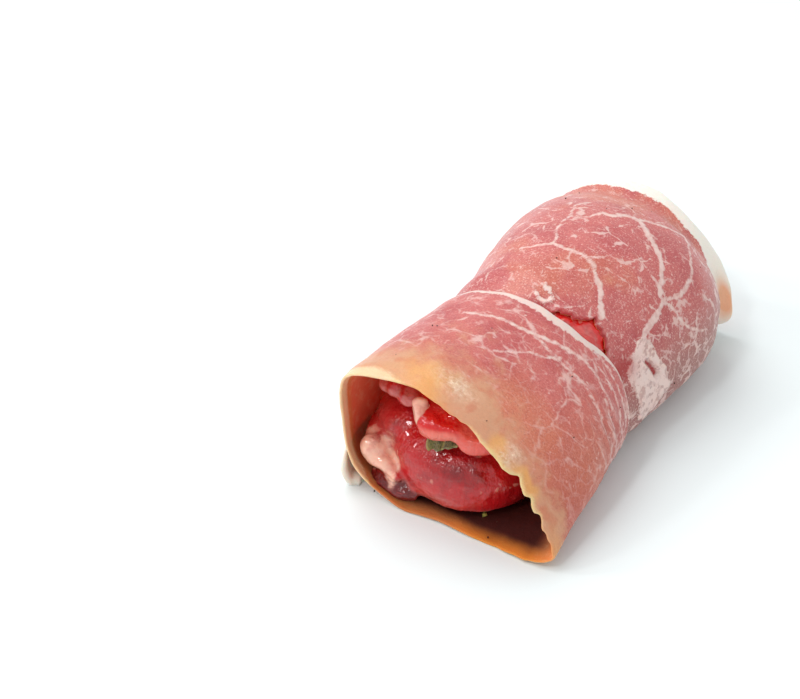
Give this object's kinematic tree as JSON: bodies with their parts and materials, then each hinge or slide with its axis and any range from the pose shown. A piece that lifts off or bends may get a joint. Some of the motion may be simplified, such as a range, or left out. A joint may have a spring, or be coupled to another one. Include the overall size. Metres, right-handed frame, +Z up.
{
  "type": "veal saltimbocca roll",
  "caption": "Raw veal saltimbocca: a folded veal cutlet with a sage leaf in it, rolled up in overlapping slices of cured ham and open at both ends.",
  "frame": {"origin": "on the surface the roll lies on, under the middle of its bounding box", "axes": "+Z up, +Y along the roll from its open front end with the leaf to the far end, +X across it to the low side"},
  "size_m": [0.0567, 0.1002, 0.0388],
  "materials": {
    "ham": "moist cured ham, pink lean with pale veins, yellow-orange at the front rim and cream fat at the far end",
    "veal": "wet raw veal, red with pale fat",
    "leaf": "matt, finely furred grey-green sage leaf"
  },
  "bodies": {
    "root": {"ham_slice_front": "ham", "ham_slice_back": "ham", "veal_cutlet": "veal", "sage_leaf": "leaf"}
  },
  "joints": []
}
